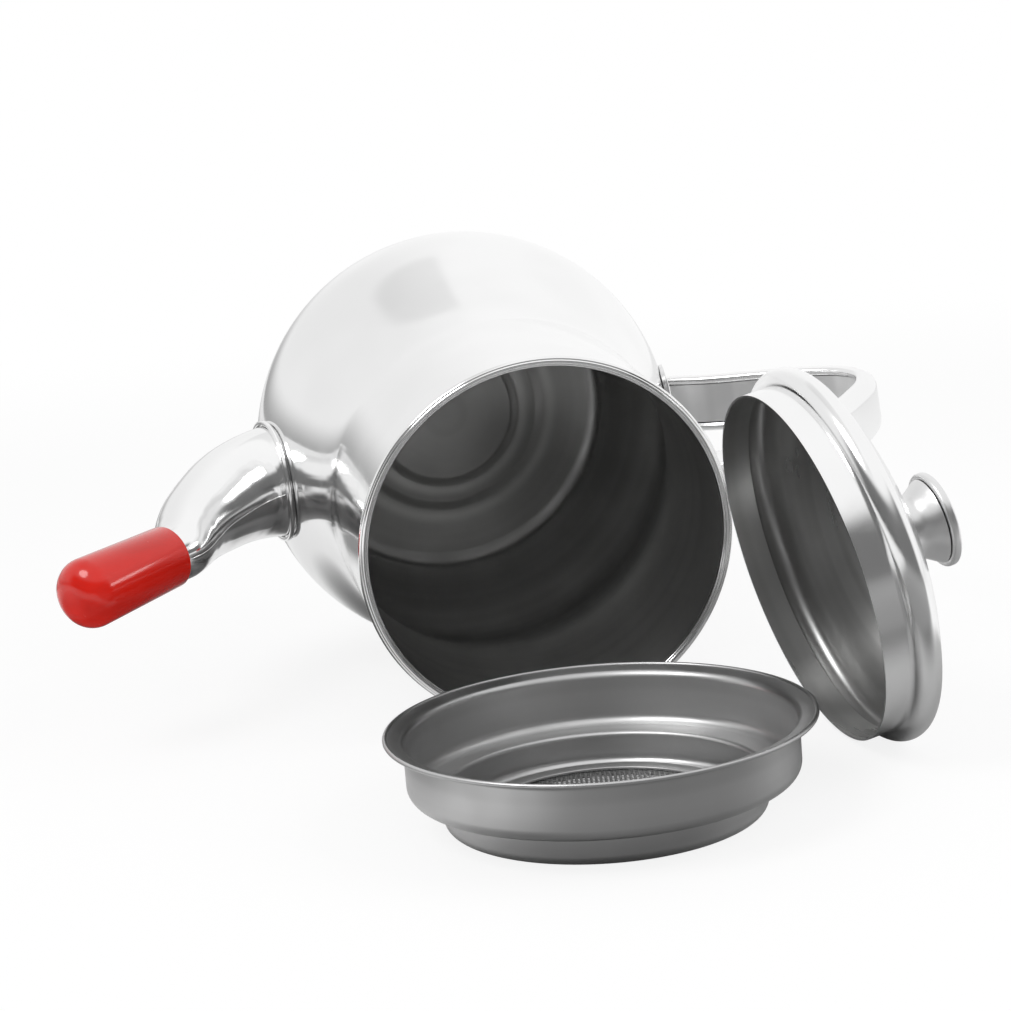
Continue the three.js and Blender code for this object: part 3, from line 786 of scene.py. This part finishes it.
class CONTAINER_OT_pot(bpy.types.Operator):
    """Builds the pot's shell and its base"""
    bl_idname = "grease_container.pot"
    bl_label = "Pot"

    def execute(self, context):
        pot, look = settings().pot, settings().look
        at = pot_seat()
        line, corner, neck = shell_line()
        bead = (pot.mouth + pot.bead, pot.height)
        meets = [math.degrees(math.acos((radius - bead[0]) / pot.bead)) for radius in (neck, neck - pot.wall)]
        roll = self.creased(arc(bead, pot.bead, -meets[0], 360 - meets[1], ROLL_STEPS), bead)
        outside = [*line, *roll[:ROLL_SPLIT + 1]]
        inside = [*roll[ROLL_SPLIT:], *reversed(offset(line, pot.wall)), line[0]]
        shell = cut(turned(outside, inside), spout_form(-settings().spout.wall))
        polished = polished_steel("pot polished", at, look.polished)
        drawn = satin_steel("pot drawn inside", at, look.inside, gloss=0.34, banding=0.12)
        finished("pot_shell", shell, at, "pot", ["pot_body"], "polished_steel", polished, drawn)
        low = pot.wall + pot.gap
        panel = low + pot.panel_rise
        centre = panel + pot.centre_rise
        under = [(corner[0], low)]
        for middle, start, end in ((pot.panel, low, panel), (pot.centre, panel, centre)):
            under += [(middle + pot.press_run * (0.5 - part), between(start, end, eased(part)))
                      for part in even_parts(PRESS_STEPS)]
        under.append((0, centre))
        over = [(x, z + pot.wall) for x, z in reversed(under)]
        # The base's steel gets its two painted highlight rings
        painted_highlight_base = satin_steel("pot base drawn, painted highlights", at, look.inside, gloss=0.34, banding=0.12, painted_highlight_rings=(
            (pot.painted_inner_highlight, pot.painted_inner_highlight_width), (pot.painted_outer_highlight, pot.painted_outer_highlight_width)))
        finished("pot_base_panel", turned([*over, *under]), at, "pot", ["pot_base"], "satin_steel", painted_highlight_base)
        return {"FINISHED"}

    def creased(self, roll, middle):
        """The rolled rim's outline with the two fine creases of its hem."""
        pot = settings().pot
        marked = []
        for x, z in roll:
            across, up = x - middle[0], z - middle[1]
            turn = math.degrees(math.atan2(up, across))
            depth = sum(math.exp(-((turn - crease) / pot.crease_width) ** 2) for crease in ROLL_CREASES)
            left = 1 - pot.crease_depth * depth / pot.bead
            marked.append((middle[0] + across * left, middle[1] + up * left))
        return marked


class CONTAINER_OT_spout(bpy.types.Operator):
    """Builds the two halves of the spout and the collar at its root"""
    bl_idname = "grease_container.spout"
    bl_label = "Spout"

    def execute(self, context):
        spout, pot, look = settings().spout, settings().pot, settings().look
        at = pot_seat()
        polished = polished_steel("spout polished", at, look.polished, gloss=0.1, brush=0.1)
        places = spout_stations(0)
        for side, name in ((1, "right"), (-1, "left")):
            half = swept(arc((0, 0), 1, 0, 180 * side, steps=40), places, closed_outline=False)
            half = bevelled(thickened(half, spout.wall), spout.seam)
            half = cut(half, pot_form(pot.gap))
            finished(f"spout_{name}_shell", half, at, "pot", [f"spout_{name}_half"], "polished_steel",
                     polished)
        self.collar(at, polished)
        return {"FINISHED"}

    def collar(self, at, polished):
        """A rounded ring along the line where the spout leaves the shell."""
        spout, pot = settings().spout, settings().pot
        near, far = spout_stations(pot.gap), spout_stations(pot.gap + spout.collar_width)

        def clearance(point):
            return math.hypot(point.x, point.y) - shell_radius(point.z) - pot.gap

        ring = []
        for part in even_parts(COLLAR_STEPS)[:-1]:
            spot = Vector((math.cos(math.tau * part), math.sin(math.tau * part), 0))
            run = [place @ spot for place in near]
            leaves = next(index for index in range(1, len(run)) if clearance(run[index]) > 0)
            start, end = run[leaves - 1], run[leaves]
            foot = start.lerp(end, clearance(start) / (clearance(start) - clearance(end)))
            out = (far[leaves] @ spot - end).normalized()
            rise = Vector((foot.x, foot.y, 0)).normalized()
            rise = (rise - out * rise.dot(out)).normalized()
            middle = foot + out * spout.collar_width / 2 + rise * spout.collar_thickness / 2
            axes = Matrix((out, rise, out.cross(rise))).transposed().to_4x4()
            ring.append(Matrix.Translation(middle) @ axes)
        half_width, half_height = spout.collar_width / 2, spout.collar_thickness / 2
        rounding = half_width * COLLAR_ROUNDING
        corners = ((1, 1, 0), (-1, 1, 90), (-1, -1, 180), (1, -1, 270))
        outline = [point for x, y, start in corners for point in
                   arc((x * (half_width - rounding), y * (half_height - rounding)), rounding,
                       start, start + 90, steps=4)]
        finished("spout_root_collar", swept(outline, ring, ring=True), at, "pot", ["spout_collar"],
                 "polished_steel", polished)


class CONTAINER_OT_cap(bpy.types.Operator):
    """Builds the dipped cap on the spout's tip"""
    bl_idname = "grease_container.cap"
    bl_label = "Cap"

    def execute(self, context):
        spout, pot, look = settings().spout, settings().pot, settings().look
        at = joint_seat(settings().places.cap_mouth, "cap_pull")
        bore = spout.tip + pot.gap
        end, rounding, lip = spout.cap_length, spout.cap_round, spout.cap_lip
        inner_rounding = rounding - spout.cap_wall
        wide = bore + spout.cap_wall + spout.cap_flare - rounding
        inner_wide = bore + spout.cap_flare - inner_rounding
        outside = [(bore, 0), *arc((bore + spout.cap_wall - lip, lip), lip, -90, 0, steps=3),
                   *arc((wide, end - rounding), rounding, 0, 90, steps=14), (0, end)]
        inside = [(0, end - spout.cap_wall),
                  *arc((inner_wide, end - rounding), inner_rounding, 90, 0, steps=10), (bore, 0)]
        vinyl = dipped_vinyl("red vinyl", at, look.vinyl)
        finished("spout_tip_cap", turned(outside, inside), at, "cap", ["spout_cap"], "red_cap", vinyl)
        return {"FINISHED"}


class CONTAINER_OT_handle(bpy.types.Operator):
    """Builds the handle strap, its liner and its two weld pads"""
    bl_idname = "grease_container.handle"
    bl_label = "Handle"

    def execute(self, context):
        handle, pot, look = settings().handle, settings().pot, settings().look
        at = pot_seat() @ Matrix.Rotation(handle.skew, 4, "Z")
        polished = polished_steel("handle polished", at, look.polished, gloss=0.14, brush=0.1)
        satin = satin_steel("handle satin", at, look.polished, gloss=0.3)
        low, high = handle.root_height, pot.height - handle.drop
        neck, reach = shell_line()[2], pot.belly + handle.reach
        path = smooth_path([(-between(neck, reach, x), between(low, high, y)) for x, y in EAR_BENDS],
                           EAR_STEPS)
        clear = pot.gap * 2 + handle.pad_thickness
        edge, back, front = handle.width / 2, handle.depth / 2, -handle.depth / 2
        roll = handle.edge / 2
        soft = handle.back_round
        side = [*arc((back - soft, edge - soft), soft, 0, 90, steps=8),
                *arc((front + roll, edge - roll), roll, 90, 270, steps=10),
                (back - handle.sheet, edge - handle.edge)]
        outline = [*side, *[(x, -y) for x, y in reversed(side)]]
        strap = cut(swept(outline, stations(path)), pot_form(clear))
        finished("handle_strap", strap, at, "pot", ["handle_outer"], "polished_steel", polished)
        top = front + handle.recess
        side = handle.width / 2 - handle.edge - pot.gap
        liner = [(top, side), (top + handle.liner, side), (top + handle.liner, -side), (top, -side)]
        strip = cut(swept(liner, stations(path)), pot_form(clear))
        finished("handle_liner", strip, at, "pot", ["handle_inner"], "satin_steel", satin)
        for name, height in (("upper", high), ("lower", low)):
            self.pad(name, height, at, satin)
        return {"FINISHED"}

    def pad(self, name, height, at, satin):
        """A rounded plate bent to the shell."""
        handle, pot = settings().handle, settings().pot
        bm = bmesh.new()
        bmesh.ops.create_grid(bm, x_segments=1, y_segments=1, size=0.5)
        bmesh.ops.transform(bm, verts=bm.verts,
                            matrix=Matrix.Diagonal((handle.pad_width, handle.pad_height, 1, 1)))
        bmesh.ops.bevel(bm, geom=bm.verts[:], offset=handle.pad_round, affect="VERTICES", segments=6,
                        profile=0.5, material=-1)
        for side, size in (((1, 0, 0), handle.pad_width), ((0, 1, 0), handle.pad_height)):
            for part in even_parts(PAD_STEPS)[1:-1]:
                bmesh.ops.bisect_plane(bm, geom=bm.verts[:] + bm.edges[:] + bm.faces[:],
                                       plane_co=Vector(side) * size * (part - 0.5), plane_no=side)
        for vert in bm.verts:
            across, rise = vert.co.x, vert.co.y + height
            radius = shell_radius(rise) + pot.gap
            vert.co = Vector((-math.sqrt(radius ** 2 - across ** 2), across, rise))
        bmesh.ops.recalc_face_normals(bm, faces=bm.faces)
        if sum(face.normal.x for face in bm.faces) > 0:
            bmesh.ops.reverse_faces(bm, faces=bm.faces)
        bm = thickened(bm, -handle.pad_thickness)
        finished(f"handle_{name}_weld_pad", bm, at, "pot", [f"handle_{name}_pad"], "satin_steel", satin)


class CONTAINER_OT_strainer(bpy.types.Operator):
    """Builds the strainer's pan, its mesh and the ring that holds the mesh"""
    bl_idname = "grease_container.strainer"
    bl_label = "Strainer"

    def execute(self, context):
        strainer, pot, look = settings().strainer, settings().pot, settings().look
        at = joint_seat(settings().places.strainer_base, "strainer_lift")
        satin = satin_steel("strainer satin", at, look.satin, gloss=0.32)
        sheet, step, shoulder = strainer.sheet, strainer.step_height, strainer.shoulder
        outer = pot.mouth - strainer.play
        lower = outer - strainer.step
        under_lip = strainer.height - strainer.lip_rise - strainer.lip_round / 2
        line = [(strainer.drain, 0),
                *arc((lower - strainer.press, strainer.press), strainer.press, -90, 0, steps=8),
                (lower, step - sheet * STEP_HOLD),
                *arc((lower + sheet, step - sheet), sheet, 180, 90, steps=4),
                *arc((outer - shoulder, step + shoulder), shoulder, -90, 0, steps=12),
                *arc((outer + strainer.lip_round, under_lip), strainer.lip_round, 180, 110, steps=6),
                (outer + strainer.lip, strainer.height - sheet)]
        inner = offset(line, sheet)
        slope = math.degrees(math.atan2(line[-1][1] - line[-2][1], line[-1][0] - line[-2][0]))
        meets = math.degrees(math.asin(sheet / 2 / strainer.lip_roll))
        middle = [(a + b) / 2 for a, b in zip(line[-1], inner[-1])]
        edge = arc(middle, strainer.lip_roll, slope - 180 + meets, slope + 180 - meets, steps=20)
        cup = turned([*line[:-1], *edge, *reversed(inner[:-1]), line[0]])
        finished("strainer_cup", cup, at, "strainer", ["strainer_pan"], "satin_steel", satin)
        wide = strainer.drain + strainer.mesh_lap
        low = sheet + pot.gap
        top = low + strainer.mesh_thickness
        mesh = turned([(0, low), (wide, low), (wide, top), (0, top)])
        finished("strainer_wire_mesh", mesh, at, "strainer", ["strainer_mesh"], "mesh_steel",
                 woven_wire("woven wire", at, look.wire, strainer.mesh_pitch))
        wide += strainer.ring_lap
        low = top + pot.gap
        rounding = sheet * RING_ROUNDING
        top = low + sheet - rounding
        ring = turned([(strainer.drain, low), (wide, low),
                       *arc((wide - rounding, top), rounding, 0, 90, steps=3),
                       *arc((strainer.drain + rounding, top), rounding, 90, 180, steps=3),
                       (strainer.drain, low)])
        finished("strainer_mesh_ring", ring, at, "strainer", ["mesh_ring"], "satin_steel", satin)
        return {"FINISHED"}


def lid_line():
    """The lid's outer line from its open edge to the screw hole, and the height of the knob's seat."""
    lid, strainer, pot = settings().lid, settings().strainer, settings().pot
    skirt = pot.mouth - strainer.play - strainer.sheet - lid.play
    turn = lid.dome_start
    start = (skirt + lid.bulge * math.cos(turn), lid.skirt + lid.bulge * (1 + math.sin(turn)))

    def dome(radius):
        return lid.dome - (lid.dome - start[1]) * (radius / start[0]) ** 2

    seat_radius = lid.knob_base + lid.seat_margin
    radii = [between(start[0], seat_radius, part) for part in even_parts(DOME_STEPS)[1:]]
    line = [(skirt, 0), (skirt, lid.skirt - lid.sheet),
            *arc((skirt, lid.skirt + lid.bulge), lid.bulge, -90, math.degrees(turn), DOME_STEPS),
            *[(radius, dome(radius)) for radius in radii], (lid.screw + pot.gap, dome(seat_radius))]
    return line, dome(seat_radius)


class CONTAINER_OT_lid(bpy.types.Operator):
    """Builds the lid's shell"""
    bl_idname = "grease_container.lid"
    bl_label = "Lid"

    def execute(self, context):
        lid, look = settings().lid, settings().look
        at = joint_seat(settings().places.lid_edge, "lid_lift")
        line, _ = lid_line()
        inner = offset(line, lid.sheet)
        shell = turned(line, [line[-1], *reversed(inner), line[0]])
        polished = polished_steel("lid polished", at, look.polished, gloss=0.15)
        drawn = satin_steel("lid drawn inside", at, look.inside, gloss=0.28, banding=0.3)
        finished("lid_dome", shell, at, "lid", ["lid_shell"], "polished_steel", polished, drawn)
        return {"FINISHED"}


class CONTAINER_OT_knob(bpy.types.Operator):
    """Builds the knob's neck and disc and the screw and washer under the lid"""
    bl_idname = "grease_container.knob"
    bl_label = "Knob"

    def execute(self, context):
        lid, pot, look = settings().lid, settings().pot, settings().look
        at = joint_seat(settings().places.lid_edge, "lid_lift")
        polished = polished_steel("knob polished", at, deeper(look.polished, 0.86), gloss=0.32, brush=0.05)
        satin = satin_steel("screw satin", at, look.satin, gloss=0.3)
        _, seat_height = lid_line()
        hole, recess = lid.screw + pot.gap, lid.spigot + pot.gap
        foot = seat_height + pot.gap
        top = foot + lid.knob_height
        floor = top - lid.spigot_depth - pot.gap
        waist = smooth_path([(lid.knob_base, foot), (lid.knob_waist, (foot + top) / 2),
                             (lid.knob_top, top)], steps=24)
        neck = turned([(hole, foot), *[(point.x, point.z) for point, _ in waist], (recess, top),
                       (recess, floor), (hole, floor), (hole, foot)])
        finished("knob_spool", neck, at, "lid", ["knob_neck"], "polished_steel", polished)
        low = top + pot.gap
        high = low + lid.disc_thickness
        spigot_end = low - lid.spigot_depth
        rounding = lid.disc_round
        edge = lid.disc_radius - rounding
        crown = [(edge * (1 - part), high + lid.disc_crown * (1 - (1 - part) ** 2))
                 for part in even_parts(CROWN_STEPS)[1:]]
        disc = turned([(0, spigot_end), (lid.spigot, spigot_end), (lid.spigot, low),
                       *arc((edge, low + rounding), rounding, -90, 0, steps=6),
                       *arc((edge, high - rounding), rounding, 0, 90, steps=6), *crown])
        finished("knob_flange", disc, at, "lid", ["knob_disc"], "polished_steel", polished)
        top = seat_height - lid.sheet - pot.gap
        low = top - lid.washer_thickness
        rounding = lid.washer_thickness * WASHER_ROUNDING
        washer = turned([(hole, low),
                         *arc((lid.washer - rounding, low + rounding), rounding, -90, 0, steps=3),
                         (lid.washer, top), (hole, top), (hole, low)], steps=SCREW_STEPS)
        finished("knob_screw_washer", washer, at, "lid", ["knob_washer"], "satin_steel", satin)
        top = low - pot.gap
        low = top - lid.head_height
        tip, chamfer = foot + lid.screw_reach, lid.screw / 4
        rounding = lid.head_height * HEAD_ROUNDING
        screw = turned([(0, low),
                        *arc((lid.head_radius - rounding, low + rounding), rounding, -90, 0, steps=6),
                        (lid.head_radius, top), (lid.screw, top), (lid.screw, tip - chamfer),
                        (lid.screw - chamfer, tip), (0, tip)], steps=SCREW_STEPS)
        slot = bmesh.new()
        bmesh.ops.create_cube(slot, size=1)
        # The slot's tool is longer than the head is wide, and half of it lies outside the head
        size = Matrix.Diagonal((lid.head_radius * 3, lid.slot_width, lid.slot_width * 2, 1))
        bmesh.ops.transform(slot, verts=slot.verts, matrix=Matrix.Translation((0, 0, low)) @ size)
        finished("knob_pan_screw", cut(screw, slot), at, "lid", ["knob_screw"],
                 "satin_steel", satin)
        return {"FINISHED"}


# The stage

def rays(shader):
    """What the camera sees, and what gloss and glass see."""
    camera, glossy, through_glass = (shader.node("ShaderNodeLightPath", output=f"Is {kind} Ray")
                                     for kind in ("Camera", "Glossy", "Transmission"))
    return camera, glossy.through("MAXIMUM", through_glass)


def dark_zone(shader, axes, darkness, *edges):
    """A zone's darkness, fading from the inner to the outer edge on each axis."""
    for axis, outer, inner in edges:
        darkness = darkness * shader.span(axes[axis], outer, inner)
    return darkness


def add_world(stage):
    """White to the camera and even to matt faces. Gloss sees a studio: a dark front below its lit ceiling, a
    dimmer left with a darker skyline, and a grey card overhead."""
    world = bpy.data.worlds.new("studio")
    bpy.context.scene.world = world
    shader = Shader(world)
    camera, glossy = rays(shader)
    axes = dict(zip("xyz", shader.parts(shader.node("ShaderNodeTexCoord", output="Generated"))))
    dark = {name: dark_zone(shader, axes, *zone) for name, zone in STUDIO_ZONES.items()}
    studio = (1 - dark["left"] - dark["skyline"] - dark["card"]) * (1 - dark["front"])
    level = shader.choice(camera, shader.choice(glossy, stage.room, studio), 1.0)
    back = shader.node("ShaderNodeBackground", None, {"Color": (1, 1, 1), "Strength": level})
    shader.node("ShaderNodeOutputWorld", None, {"Surface": back})


def add_floor(stage):
    """A pale floor that keeps the shadows. Gloss sees painted shade on it in front of and behind the pot,
    and painted shadow beside the spout, the cap and the lid, and sees it fading into the white further out."""
    bm = bmesh.new()
    bmesh.ops.create_grid(bm, x_segments=1, y_segments=1, size=stage.floor)
    floor = draft(bm)
    floor.name = "floor"
    material, shader = new_material("pale floor")
    camera, glossy = rays(shader)
    spot = shader.node("ShaderNodeTexCoord", output="Object")
    x, y, _ = shader.parts(spot)
    away = shader.off_axis(x, y)
    axes = {"x": x, "y": y, "away": away}
    # Painted shade and shadow on the floor, which only gloss sees
    dark = sum(dark_zone(shader, axes, *zone) for zone in FLOOR_SHADE_ZONES.values())
    for darkness, (x_middle, y_middle), outer, inner in FLOOR_SHADOW_PATCHES.values():
        dark += darkness * shader.span(shader.off_axis(x - x_middle, y - y_middle), outer, inner)
    dark = shader.span(dark, 0, 1, kind="LINEAR") * glossy
    shade = shader.blend(shader.noise(spot, FLOOR_CLOUDS, detail=2.0), *FLOOR_SHADES)
    # The painted shade darkens the floor's colour for gloss
    shade = shader.blend(dark, shade, FLOOR_PAINTED_SHADE)
    matt = shader.node("ShaderNodeBsdfPrincipled", None, {"Base Color": shade, "Roughness": 0.8})
    glow = shader.node("ShaderNodeEmission", None, {"Color": (1, 1, 1), "Strength": 1.0})
    seen = camera * shader.span(away, *FADE_SEEN)
    mirrored = glossy * (1 - dark) * shader.span(away, *FADE_MIRRORED)
    mixed = shader.node("ShaderNodeMixShader", None, {0: seen + mirrored, 1: matt, 2: glow})
    shader.node("ShaderNodeOutputMaterial", None, {"Surface": mixed})
    floor.data.materials.append(material)


def add_lamp(name, spot, size, power, mirrored):
    data = bpy.data.lights.new(name, "AREA")
    data.shape = "DISK"
    data.size = size
    data.energy = power
    lamp = bpy.data.objects.new(name, data)
    lamp.location = spot
    lamp.rotation_euler = (LAMP_AIM - Vector(spot)).to_track_quat("-Z", "Y").to_euler()
    lamp.visible_glossy = mirrored
    bpy.context.scene.collection.objects.link(lamp)


def add_camera(stage):
    data = bpy.data.cameras.new("camera")
    data.lens = stage.lens
    data.sensor_width = 36
    data.clip_start = 0.01
    camera = bpy.data.objects.new("camera", data)
    bpy.context.scene.collection.objects.link(camera)
    turn = Matrix.Rotation(math.pi / 2 - stage.pitch, 4, "X") @ Matrix.Rotation(stage.roll, 4, "Z")
    camera.matrix_world = Matrix.Translation(stage.camera) @ turn
    bpy.context.scene.camera = camera


class CONTAINER_OT_stage(bpy.types.Operator):
    """Sets the floor, the lights and the camera"""
    bl_idname = "grease_container.stage"
    bl_label = "Stage"

    def execute(self, context):
        stage = settings().stage
        context.scene.view_settings.view_transform = "Standard"
        add_world(stage)
        add_floor(stage)
        for name, values in LAMPS.items():
            add_lamp(name, *values)
        add_camera(stage)
        return {"FINISHED"}


class CONTAINER_PT_panel(bpy.types.Panel):
    """Lists the container's pieces and their sizes"""
    bl_label = "Grease Container"
    bl_idname = "CONTAINER_PT_panel"
    bl_space_type = "VIEW_3D"
    bl_region_type = "UI"
    bl_category = "Container"

    def draw(self, context):
        for operator in OPERATORS:
            self.layout.operator(operator.bl_idname)
        for group in ContainerSettings.__annotations__:
            box = self.layout.box()
            box.label(text=group.capitalize())
            values = getattr(context.scene.grease_container, group)
            for name in values.bl_rna.properties.keys():
                if name not in {"rna_type", "name"}:
                    box.prop(values, name)


OPERATORS = (CONTAINER_OT_pot, CONTAINER_OT_spout, CONTAINER_OT_cap, CONTAINER_OT_handle,
             CONTAINER_OT_strainer, CONTAINER_OT_lid, CONTAINER_OT_knob, CONTAINER_OT_stage)
CLASSES = (ContainerPlaces, ContainerPot, ContainerSpout, ContainerHandle, ContainerStrainer, ContainerLid,
           ContainerLook, ContainerStage, ContainerSettings, *OPERATORS, CONTAINER_PT_panel)


def register():
    for item in CLASSES:
        bpy.utils.register_class(item)
    bpy.types.Scene.grease_container = PointerProperty(type=ContainerSettings)


def unregister():
    del bpy.types.Scene.grease_container
    for item in reversed(CLASSES):
        bpy.utils.unregister_class(item)


def main():
    register()
    build = bpy.ops.grease_container
    for step in (build.pot, build.spout, build.cap, build.handle, build.strainer, build.lid, build.knob,
                 build.stage):
        step()


if __name__ == "__main__":
    main()
